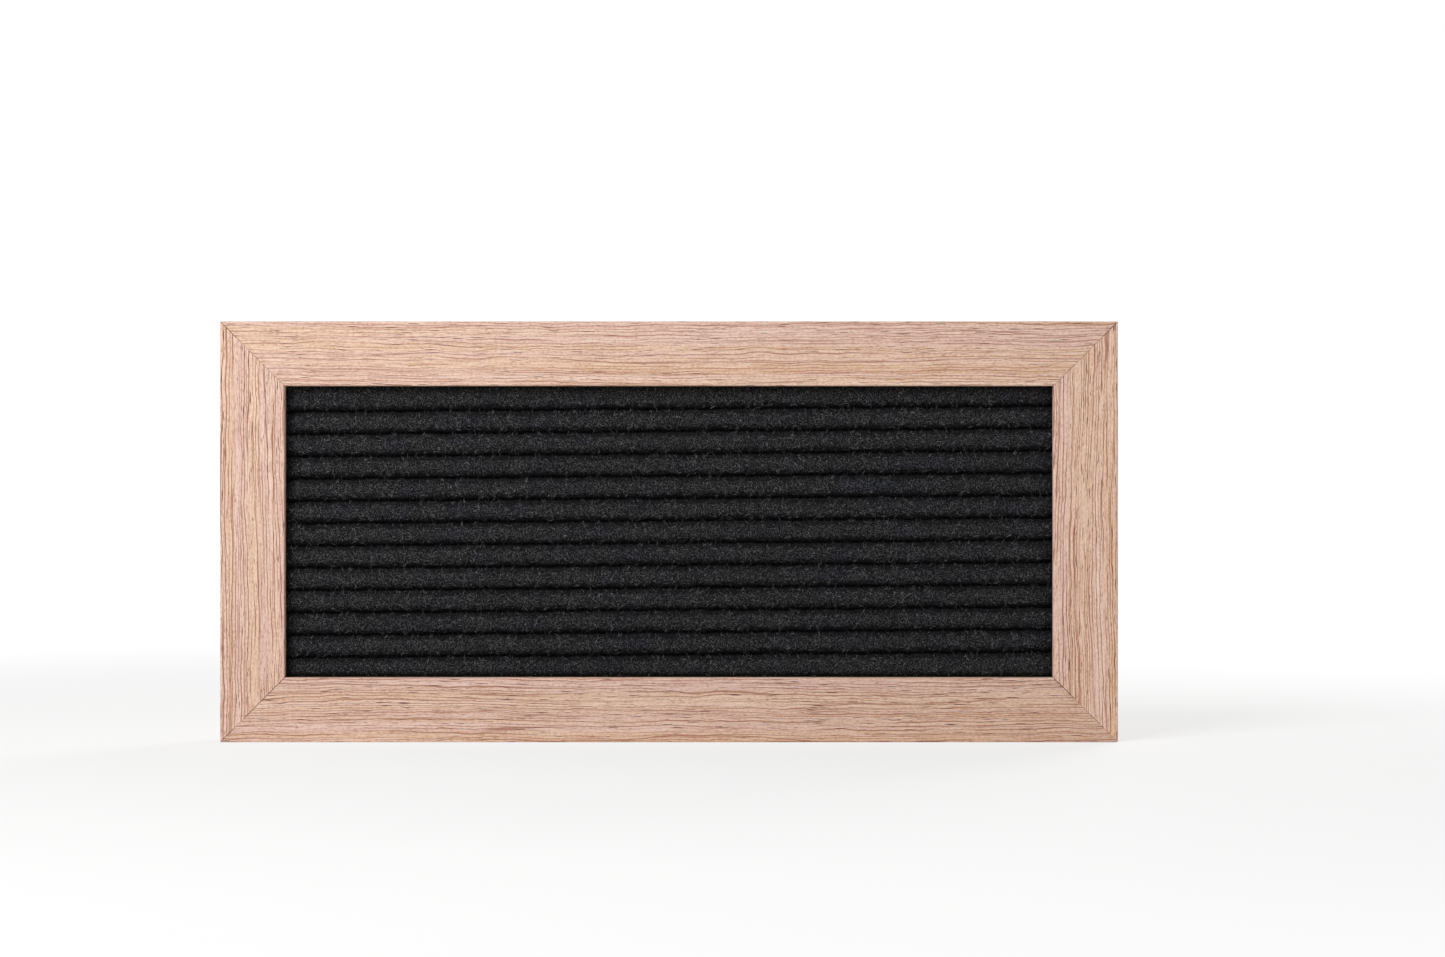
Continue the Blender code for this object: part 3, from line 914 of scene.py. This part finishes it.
@dataclass
class PleatedFelt:
    """One felt sheet tucked into the panel's slots, whose pleats wander a little."""

    pitch: float = 0.008
    slots: int = 12
    slot_width: float = 0.0012
    slot_depth: float = 0.0032
    skew: float = math.radians(0.45)
    thickness: float = 0.001
    upper_bend: float = 0.0021
    lower_bend: float = 0.0018
    back_bend: float = 0.0004
    bottom_share: float = 0.45
    slope_run: float = 0.0024
    slope_drop: float = 0.0011
    crown_radius: float = 0.004
    arc_steps: tuple[int, ...] = (5, 1, 1, 4, 3)
    end_steps: int = 10
    sideways_step: float = 0.0016
    wander: float = 0.00018
    ripple: float = 0.00034
    puff: float = 0.00008
    # shade_half, fade_in and fade_out shape the painted shade beside each slot.
    shade_half: float = 0.0006
    fade_in: float = 0.0031
    fade_out: float = 0.0026
    wander_waves: tuple[Pair, ...] = ((0.110, 0.34), (0.047, 0.33), (0.019, 0.33))
    ripple_waves: tuple[Pair, ...] = ((0.012, 0.3), (0.007, 0.3), (0.0045, 0.4))
    puff_waves: tuple[Pair, ...] = ((0.031, 0.5), (0.013, 0.5))
    stretch: Pair = (0.8, 1.25)
    edge_sink: float = 0.0005
    # edge_shades give where the painted shade under the frame's lip starts, how wide it fades and
    # its least share; they also set how far the felt sinks there.
    edge_shades: dict[str, tuple[float, float, float]] = field(
        default_factory=lambda: {
            "left": (0.0010, 0.0032, 0.0),
            "right": (0.0, 0.0060, 0.3),
            "bottom": (-0.0002, 0.0026, -1.0),
            "top": (0.0, 0.0024, 0.1),
        }
    )
    crease: float = 60.0
    front_map: Pair = (0.96, 0.80)
    back_map: Pair = (0.96, 0.14)
    back_start: Pair = (0.0, 0.82)
    rim_start: float = 0.965
    rim_pitch: float = 0.008
    rim_width: float = 0.004
    seed: int = 31

    def build(self) -> None:
        low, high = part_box("felt_sheet")
        half = (high.z - low.z) / 2
        stations = int((high.x - low.x) / self.sideways_step) + 1
        across = np.linspace(low.x, high.x, stations)
        front = self.profile(half, 0.0)
        back = self.profile(half, self.thickness)
        chance = np.random.default_rng(self.seed)
        shift = self.wander * self.waves(chance, across, self.wander_waves)
        ripple = self.ripple * self.waves(chance, across, self.ripple_waves)
        puff = self.waves(chance, across, self.puff_waves)
        middle = Vector((0, low.y, (low.z + high.z) / 2))
        ahead = self.spread(front, across, middle, shift + ripple, puff)
        behind = self.spread(back, across, middle, shift, 0 * puff)
        for rows in (ahead, behind):
            rows[:, :, 2] = np.clip(rows[:, :, 2], low.z, high.z)
        inside = self.inside(ahead)
        ahead[:, :, 1] += np.clip(1 - inside, 0, 1) * self.edge_sink
        sheet = self.skin("felt_cover", ahead, behind)
        # The share out of the pleats' painted shade, which also crowds the loose wool beside the
        # slots.
        lift = self.unshaded_share(front)
        fuzz = FeltFuzz().build(ahead, front[:, 0] < self.slope_drop, lift)
        # The sheet carries one share for the painted shade of the pleats and of the frame's lip.
        unshaded_share = sheet.data.attributes.new("unshaded_share", "FLOAT", "POINT")
        unshaded_share.data.foreach_set("value", np.tile((inside * lift).ravel(), 2))
        smooth(sheet, self.crease)
        coat(sheet, FeltFinish().make("felt"))
        join_board(sheet, BOARD, "felt", "felt_sheet")

    def profile(self, half: float, inset: float) -> np.ndarray:
        """The felt in section, as (depth, height) points from the top down.

        Args:
            half: half the sheet's height.
            inset: how far behind the felt's front the section runs.

        Returns:
            The points, with heights from the board's middle.
        """
        corners: list[Pair] = [(0.0, half)]
        radii: list[float] = []
        counts: list[int] = []
        bottom = self.slot_width * self.bottom_share + inset
        bends = (self.back_bend, self.back_bend) if inset else (self.upper_bend, self.lower_bend)
        for height in self.slot_heights():
            above, below = height + self.slot_width / 2, height - self.slot_width / 2
            corners += [(0, above), (self.slot_depth, above), (self.slot_depth, below)]
            corners += [(self.slope_drop, below), (0, below - self.slope_run)]
            radii += [bends[0], bottom, bottom, bends[1], self.crown_radius - inset]
            counts += self.arc_steps
        corners.append((0.0, -half))
        path = rounded(parallel(corners, inset), radii, counts)
        shares = np.linspace(0, 1, self.end_steps + 1)[:, None]
        first = path[0] + (path[1] - path[0]) * shares
        last = path[-2] + (path[-1] - path[-2]) * shares
        return np.concatenate((first, path[2:-2], last))

    def slot_heights(self) -> list[float]:
        """How far each slot lies above the middle of the board, from the top down."""
        highest = (self.slots - 1) / 2 * self.pitch
        return [highest - number * self.pitch for number in range(self.slots)]

    def unshaded_share(self, profile: np.ndarray) -> np.ndarray:
        """How far each point of the section is out of the painted shade of the pleats, from 0 to 1.

        Args:
            profile: the section's front.

        Returns:
            One share for each point.
        """
        share = np.ones(len(profile))
        for height in self.slot_heights():
            below = (height - profile[:, 1] - self.shade_half) / self.fade_in
            above = (profile[:, 1] - height - self.shade_half) / self.fade_out
            near = np.clip(np.maximum(below, above), 0, 1)
            share = np.minimum(share, near * near * (3 - 2 * near))
        return share

    def inside(self, front: np.ndarray) -> np.ndarray:
        """How far each point is out of the painted shade of the frame's lip, 1 where it is clear;
        the felt also sinks where it is low.

        Args:
            front: the felt's front as a grid of points.

        Returns:
            One share for each point of the grid.
        """
        left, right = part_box("frame_rail_left")[1].x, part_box("frame_rail_right")[0].x
        bottom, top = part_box("frame_rail_bottom")[1].z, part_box("frame_rail_top")[0].z
        gaps = {
            "left": front[:, :, 0] - left,
            "right": right - front[:, :, 0],
            "bottom": front[:, :, 2] - bottom,
            "top": top - front[:, :, 2],
        }
        share = np.ones(front.shape[:2])
        for edge, gap in gaps.items():
            start, fade, least = self.edge_shades[edge]
            near = np.clip((gap - start) / fade, 0, 1)
            share = np.minimum(share, least + (1 - least) * near * near * (3 - 2 * near))
        return share

    def waves(
        self,
        chance: np.random.Generator,
        across: np.ndarray,
        parts: Sequence[Pair],
    ) -> np.ndarray:
        """Slow waves along each pleat.

        Args:
            chance: the seeded source of phases.
            across: the places along X.
            parts: each wave's length and its share of the height.

        Returns:
            A height between -1 and 1 for each place and pleat.
        """
        total = np.zeros((len(across), self.slots))
        for length, share in parts:
            phase = chance.uniform(0, math.tau, self.slots)
            stretch = chance.uniform(*self.stretch, self.slots)
            total += share * np.sin(across[:, None] / (length * stretch) * math.tau + phase)
        return total

    def spread(
        self,
        profile: np.ndarray,
        across: np.ndarray,
        middle: Vector,
        shift: np.ndarray,
        puff: np.ndarray,
    ) -> np.ndarray:
        """Draws the section out along the board, with its skew and its wander.

        Args:
            profile: the section.
            across: the places along X.
            middle: the middle of the sheet's front.
            shift: how far each pleat strays up at each place.
            puff: how far each pleat sinks, as a share of the most, from -1 to 1.

        Returns:
            A grid of points: one row for each place along X.
        """
        grid = np.zeros((len(across), len(profile), 3))
        order = np.array(self.slot_heights())[::-1]
        outer = 1 - np.clip(profile[:, 0] / self.slope_drop, 0, 1)
        for row, place in enumerate(across):
            strayed = np.interp(profile[:, 1], order, shift[row][::-1])
            sunk = np.interp(profile[:, 1], order, puff[row][::-1])
            grid[row, :, 0] = place
            grid[row, :, 1] = middle.y + profile[:, 0] + outer * self.puff * (sunk + 1)
            grid[row, :, 2] = middle.z + profile[:, 1] + place * math.tan(self.skew) + strayed
        return grid

    def skin(self, name: str, front: np.ndarray, back: np.ndarray) -> bpy.types.Object:
        """A closed sheet between two grids of points.

        Args:
            name: the piece's name.
            front: the grid that faces -Y.
            back: the grid behind it, point for point.

        Returns:
            The piece.
        """
        wide, tall = front.shape[:2]
        ahead = np.arange(wide * tall).reshape(wide, tall)
        behind = ahead + wide * tall
        faces = [
            quads(ahead[:-1, :-1], ahead[:-1, 1:], ahead[1:, 1:], ahead[1:, :-1]),
            quads(behind[:-1, :-1], behind[1:, :-1], behind[1:, 1:], behind[:-1, 1:]),
            quads(ahead[0, :-1], behind[0, :-1], behind[0, 1:], ahead[0, 1:]),
            quads(ahead[-1, :-1], ahead[-1, 1:], behind[-1, 1:], behind[-1, :-1]),
            quads(ahead[:-1, 0], ahead[1:, 0], behind[1:, 0], behind[:-1, 0]),
            quads(ahead[:-1, -1], behind[:-1, -1], behind[1:, -1], ahead[1:, -1]),
        ]
        points = np.concatenate((front.reshape(-1, 3), back.reshape(-1, 3)))
        piece = new_piece(name, points, np.concatenate(faces))
        self.unroll(piece, wide, tall, [len(group) for group in faces])
        return piece

    def unroll(self, piece: bpy.types.Object, wide: int, tall: int, groups: list[int]) -> None:
        """Lays the sheet out flat on its bake map: front, back, and four rims in strips.

        Args:
            piece: the sheet.
            wide: points along X.
            tall: points down the section.
            groups: how many faces the front, the back and each rim have.
        """
        column, row = np.divmod(np.arange(wide * tall), tall)
        flat = np.stack((column / (wide - 1), row / (tall - 1)), axis=1)
        front = flat * self.front_map
        back = flat * self.back_map + self.back_start
        loops = np.zeros(len(piece.data.loops), dtype=np.int32)
        piece.data.loops.foreach_get("vertex_index", loops)
        spots = np.concatenate((front, back))[loops].reshape(-1, 4, 2)
        start = groups[0] + groups[1]
        for number, count in enumerate(groups[2:]):
            rim = loops.reshape(-1, 4)[start : start + count]
            along = flat[rim % (wide * tall)][:, :, 1 if number < 2 else 0]
            aside = self.rim_start + number * self.rim_pitch + (rim >= wide * tall) * self.rim_width
            spots[start : start + count] = np.stack((aside, along * self.front_map[0]), axis=2)
            start += count
        layer = piece.data.uv_layers.new(name="OFBake")
        layer.uv.foreach_set("vector", spots.astype(np.float32).ravel())


@dataclass
class FeltFuzz:
    """Loose wool ends that lie on the pleats and reach a little over their slots."""

    count: int = 14000
    length: Pair = (0.0009, 0.0026)
    radius: Pair = (0.000028, 0.000048)
    height: Pair = (0.00004, 0.00028)
    crowding: float = 2.5
    brink: float = 0.25
    root: float = 0.00006
    curl: float = 0.35
    lean: float = 0.9
    tip: Pair = (-0.3, 1.0)
    taper: tuple[float, ...] = (1.0, 1.0, 0.6)
    seed: int = 57

    def build(
        self, front: np.ndarray, crests: np.ndarray, lift: np.ndarray
    ) -> bpy.types.Object:
        """Strews the ends over the felt's front, more thickly beside the slots.

        Args:
            front: the felt's front as a grid of points.
            crests: which points of the section lie outside the slots.
            lift: how far each point of the section is out of the pleats' shade.

        Returns:
            The piece, which holds all the ends.
        """
        chance = np.random.default_rng(self.seed)
        columns = chance.integers(0, front.shape[0] - 1, self.count)
        spans = np.linalg.norm(np.diff(front[0], axis=0), axis=1) * (crests[:-1] & crests[1:])
        spans = spans * (1 + self.crowding * (1 - lift[:-1]))
        rows = chance.choice(len(spans), self.count, p=spans / spans.sum())
        side = front[columns + 1, rows] - front[columns, rows]
        down = front[columns, rows + 1] - front[columns, rows]
        start = front[columns, rows] + side * chance.random((self.count, 1))
        start += down * chance.random((self.count, 1))
        out = unit(np.cross(side, down))
        out *= -np.sign(out[:, 1:2])
        angle = chance.uniform(0, math.tau, (self.count, 1))
        lean = math.pi / 2 + chance.uniform(-self.lean, self.lean, self.count)
        over = -np.sign(np.diff(lift))[rows] * lean
        beside = (lift[rows] < self.brink) & (over != 0)
        angle[beside, 0] = over[beside]
        ahead = unit(side) * np.cos(angle) + unit(down) * np.sin(angle)
        aside = np.cross(ahead, out) * chance.uniform(-1, 1, (self.count, 1)) * self.curl
        length = chance.uniform(*self.length, (self.count, 1))
        height = chance.uniform(*self.height, (self.count, 1))
        tip = chance.uniform(*self.tip, (self.count, 1))
        path = (
            start - out * self.root,
            start + ahead * length * 0.5 + aside * length * 0.5 + out * height,
            start + ahead * length + out * height * tip,
        )
        radius = chance.uniform(*self.radius, (self.count, 1))
        rings = [
            self.ring(spot, ahead, out, radius * share) for spot, share in zip(path, self.taper)
        ]
        points = np.stack(rings, axis=1).reshape(-1, 3)
        fuzz = new_piece("felt_fuzz", points, self.faces())
        coat(fuzz, StrandFinish().make("felt_strands"))
        join_board(fuzz, BOARD, "felt")
        return fuzz

    def faces(self) -> list[list[int]]:
        """Walls in the strands, each of which is three rings of three points.

        Returns:
            The six walls and two ends of each strand, as the numbers of their points.
        """
        walls = []
        for low in (0, 3):
            for left, right in ((0, 1), (1, 2), (2, 0)):
                walls.append((left + low, right + low, right + low + 3, left + low + 3))
        found = []
        for shape in (walls, ((2, 1, 0), (6, 7, 8))):
            corners = np.arange(self.count)[:, None, None] * 9 + np.array(shape)
            found += corners.reshape(-1, len(shape[0])).tolist()
        return found

    def ring(
        self, middle: np.ndarray, ahead: np.ndarray, out: np.ndarray, radius: np.ndarray
    ) -> np.ndarray:
        """Three points round each strand.

        Args:
            middle: the middle of each ring.
            ahead: which way each strand runs.
            out: which way is away from the felt.
            radius: each strand's radius.

        Returns:
            An array of strands, points and coordinates.
        """
        across = unit(np.cross(ahead, out))
        corners = []
        for number in range(3):
            turn = number * math.tau / 3
            corners.append(middle + (across * math.cos(turn) + out * math.sin(turn)) * radius)
        return np.stack(corners, axis=1)


def unit(rows: np.ndarray) -> np.ndarray:
    """Each row's direction, with a length of 1."""
    return rows / np.linalg.norm(rows, axis=1, keepdims=True)


def new_piece(name: str, points: np.ndarray, faces: Sequence[Sequence[int]]) -> bpy.types.Object:
    """A new mesh piece.

    Args:
        name: its name.
        points: its vertices.
        faces: the vertices of each face, in turn.

    Returns:
        The piece.
    """
    mesh = bpy.data.meshes.new(name)
    mesh.from_pydata(points.tolist(), [], [list(map(int, face)) for face in faces])
    piece = bpy.data.objects.new(name, mesh)
    bpy.context.scene.collection.objects.link(piece)
    return piece


def quads(*corners: np.ndarray) -> np.ndarray:
    """Rows of four corner numbers from four arrays of them."""
    return np.stack(corners, axis=-1).reshape(-1, 4)


def parallel(corners: Sequence[Pair], distance: float) -> list[Vector]:
    """The corners of a path moved sideways, to the left of the way it runs.

    Args:
        corners: the path's corners.
        distance: how far they move.

    Returns:
        The moved corners.
    """
    moved = []
    for before, corner, after in zip([None, *corners], corners, [*corners[1:], None]):
        sides = []
        for start, end in ((before, corner), (corner, after)):
            if start is not None and end is not None:
                along = (Vector(end) - Vector(start)).normalized()
                sides.append(Vector((-along.y, along.x)))
        middle = sum(sides, Vector((0, 0))).normalized()
        moved.append(Vector(corner) + middle * (distance / middle.dot(sides[0])))
    return moved


def rounded(
    corners: Sequence[Vector], radii: Sequence[float], counts: Sequence[int]
) -> np.ndarray:
    """A flat path through corners, with an arc at each inner one.

    Args:
        corners: the path's corners.
        radii: the arc's radius at each inner corner.
        counts: the arc's steps at each inner corner.

    Returns:
        The path's points.
    """
    path = [np.array(corners[0])]
    for before, corner, after, radius, steps in zip(
        corners, corners[1:], corners[2:], radii, counts
    ):
        back, ahead = (before - corner).normalized(), (after - corner).normalized()
        half = back.angle(ahead) / 2
        centre = corner + (back + ahead).normalized() * (radius / math.sin(half))
        start = corner + back * (radius / math.tan(half)) - centre
        end = corner + ahead * (radius / math.tan(half)) - centre
        turn = math.atan2(start.x * end.y - start.y * end.x, start.dot(end))
        for step in range(steps + 1):
            path.append(np.array(centre + Matrix.Rotation(turn * step / steps, 2) @ start))
    path.append(np.array(corners[-1]))
    return np.array(path)


@dataclass
class BackPanel:
    """The fibreboard panel: its back shows, and its slots hold the felt."""

    node: str = "grooved_panel"

    def build(self, nodes: dict[str, bpy.types.Object]) -> None:
        """Dresses the panel.

        Args:
            nodes: the CAD's nodes by name.
        """
        coat(nodes[self.node], FibreboardFinish().make("fibreboard"))
        LOG.info("%s is raw fibreboard", self.node)


@dataclass
class Ironmongery:
    """The small metal: magnets, corner wedges, and the two hangers."""

    magnets: tuple[str, ...] = tuple(
        f"magnet_{place}"
        for place in ("top_left", "top_right", "bottom_left", "bottom_right", "left", "right")
    )
    wedges: tuple[str, ...] = tuple(
        f"corner_wedge_{place}"
        for place in ("top_right", "bottom_right", "bottom_left", "top_left")
    )
    disc_crease: float = 30.0
    wire_crease: float = 50.0
    strap_crease: float = 40.0
    strap_ease: float = 0.00012
    eased_from: float = 50.0
    bead_crease: float = 60.0
    bead_radius: float = 0.00565
    bead_thickness: float = 0.00013
    bead_sunk: float = 0.00006
    bead_segments: tuple[int, int] = (64, 8)

    def build(self, nodes: dict[str, bpy.types.Object]) -> None:
        """Dresses the small metal.

        Args:
            nodes: the CAD's nodes by name.
        """
        grey = MAGNET_GREY.make("magnet_plating")
        for name in self.magnets:
            disc = merged_copy(nodes[name], name.replace("magnet", "magnet_disc"))
            smooth(disc, self.disc_crease)
            coat(disc, grey)
            join_board(disc, BOARD, "magnet_plating", name)
        self.beads()
        steel = WEDGE_STEEL.make("wedge_steel")
        for name in self.wedges:
            coat(nodes[name], steel)
        wire = BRASS_WIRE.make("brass_wire")
        sheet = BRASS_SHEET.make("brass_sheet")
        for side in ("left", "right"):
            ring = merged_copy(nodes[f"hanger_ring_{side}"], f"hanger_wire_{side}")
            smooth(ring, self.wire_crease)
            coat(ring, wire)
            join_board(ring, f"{side}_ring", "brass_plating", f"hanger_ring_{side}")
            strap = merged_copy(nodes[f"hanger_strap_{side}"], f"hanger_fold_{side}")
            ease = strap.modifiers.new("ease", "BEVEL")
            ease.width = self.strap_ease
            ease.segments = 2
            ease.limit_method = "ANGLE"
            ease.angle_limit = math.radians(self.eased_from)
            select_only(strap)
            bpy.ops.object.modifier_apply(modifier=ease.name)
            smooth(strap, self.strap_crease)
            coat(strap, sheet)
            join_board(strap, BOARD, "brass_plating", f"hanger_strap_{side}")

    def beads(self) -> None:
        """Lays a thin bead of pale glue in the gap round each magnet."""
        rings = []
        for name in self.magnets:
            low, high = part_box(name)
            middle = (low + high) / 2
            middle.y = high.y - self.bead_sunk - self.bead_thickness
            deselect()
            bpy.ops.mesh.primitive_torus_add(
                location=middle,
                rotation=QUARTER_TURN,
                major_segments=self.bead_segments[0],
                minor_segments=self.bead_segments[1],
                major_radius=self.bead_radius,
                minor_radius=self.bead_thickness,
            )
            ring = bpy.context.active_object
            settle(ring)
            rings.append(ring)
        beads = joined(rings, "magnet_glue")
        smooth(beads, self.bead_crease)
        coat(beads, GlueFinish(tint(240, 220, 204), tint(196, 158, 136)).make("magnet_glue"))
        join_board(beads, BOARD, "oak")


@dataclass
class Studio:
    """A camera square to the felt, soft lamps before and behind, and a white floor."""

    pixel: float = 0.0003563
    board_middle: Pair = (669.0, 531.8)
    board_height: float = 0.150
    distance: float = 0.95
    face_y: float = -0.008
    sensor: float = 36.0
    ambient: float = 0.27
    key_place: tuple[float, float, float] = (-0.40, -0.58, 0.68)
    key_size: float = 0.45
    key_watts: float = 6.1
    back_place: tuple[float, float, float] = (0.58, 0.88, 0.42)
    back_size: float = 0.55
    back_watts: float = 7.9
    floor_half: float = 3.0
    shadow_pool: Pair = (0.02, 0.4)
    near_glow: float = 0.65

    def camera(self) -> None:
        """Makes the camera at the photograph's viewing angle."""
        across = (PHOTO_WIDTH / 2 - self.board_middle[0]) * self.pixel
        high = self.board_height / 2 + (self.board_middle[1] - PHOTO_HEIGHT / 2) * self.pixel
        deselect()
        bpy.ops.object.camera_add(
            location=(across, self.face_y - self.distance, high),
            rotation=QUARTER_TURN,
        )
        camera = bpy.context.active_object
        camera.name = "camera"
        camera.data.sensor_width = self.sensor
        camera.data.lens = self.sensor * self.distance / (PHOTO_WIDTH * self.pixel)
        camera.data.clip_start = 0.01
        bpy.context.scene.camera = camera

    def lamp(self, name: str, place: Vector, aim: Vector, size: float, watts: float) -> None:
        """Makes a square soft lamp.

        Args:
            name: the lamp's name.
            place: where it stands.
            aim: what it points at.
            size: the length of its sides.
            watts: its power.
        """
        deselect()
        bpy.ops.object.light_add(type="AREA", location=place)
        lamp = bpy.context.active_object
        lamp.name = name
        lamp.data.shape = "SQUARE"
        lamp.data.size = size
        lamp.data.energy = watts
        lamp.rotation_euler = (aim - place).to_track_quat("-Z", "Y").to_euler()

    def world(self) -> None:
        """A world that looks white and lights softly."""
        recipe = Recipe("studio", world=True)
        recipe.glow("ShaderNodeBackground", recipe.looked_at(), "World Output")
        bpy.context.scene.world = recipe.finish(Color=WHITE, Strength=self.ambient)

    def floor(self) -> None:
        """A pale floor that shows white and keeps a soft shadow."""
        deselect()
        bpy.ops.mesh.primitive_plane_add(size=2 * self.floor_half, location=(0, 0, 0))
        floor = bpy.context.active_object
        floor.name = "floor"
        recipe = Recipe("floor_white")
        across, ahead, _ = recipe.place()
        far = recipe.rise(across * across + ahead * ahead, *self.shadow_pool)
        share = recipe.looked_at() * (far * (1 - self.near_glow) + self.near_glow)
        recipe.glow("ShaderNodeEmission", share, "Material Output")
        white = tint(243, 243, 242)
        coat(floor, recipe.finish(Base_Color=white, Roughness=0.9, Specular_IOR_Level=0.0))
        floor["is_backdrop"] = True

    def build(self) -> None:
        """Sets up the camera, lamps, world and floor."""
        self.camera()
        middle = Vector((0, 0, self.board_height / 2))
        self.lamp("key", Vector(self.key_place), middle, self.key_size, self.key_watts)
        self.lamp("back_key", Vector(self.back_place), middle, self.back_size, self.back_watts)
        self.world()
        self.floor()
        bpy.context.scene.view_settings.view_transform = "Standard"
        LOG.info("the studio is set")


def write_size(shown_box: Any) -> None:
    """Takes the visual model's box but writes nothing; it only defines a helper that turns a box
    into lists of numbers.

    Args:
        shown_box: the corners of the visual model's box; not used.
    """

    def plain(box: Iterable[Iterable[float]]) -> list[list[float]]:
        """The box as lists of numbers."""
        return [[float(value) for value in corner] for corner in box]


def main() -> None:
    """Builds the board's looks and its studio."""
    logging.basicConfig(level=logging.INFO, format="%(message)s")
    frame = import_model()
    nodes = frame["nodes"]
    steps: tuple[Callable[[], None], ...] = (
        Studio().build,
        lambda: OakFrame().build(nodes),
        lambda: BackPanel().build(nodes),
        PleatedFelt().build,
        lambda: Ironmongery().build(nodes),
    )
    for step in steps:
        step()
    write_size(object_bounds())


if __name__ == "__main__":
    main()
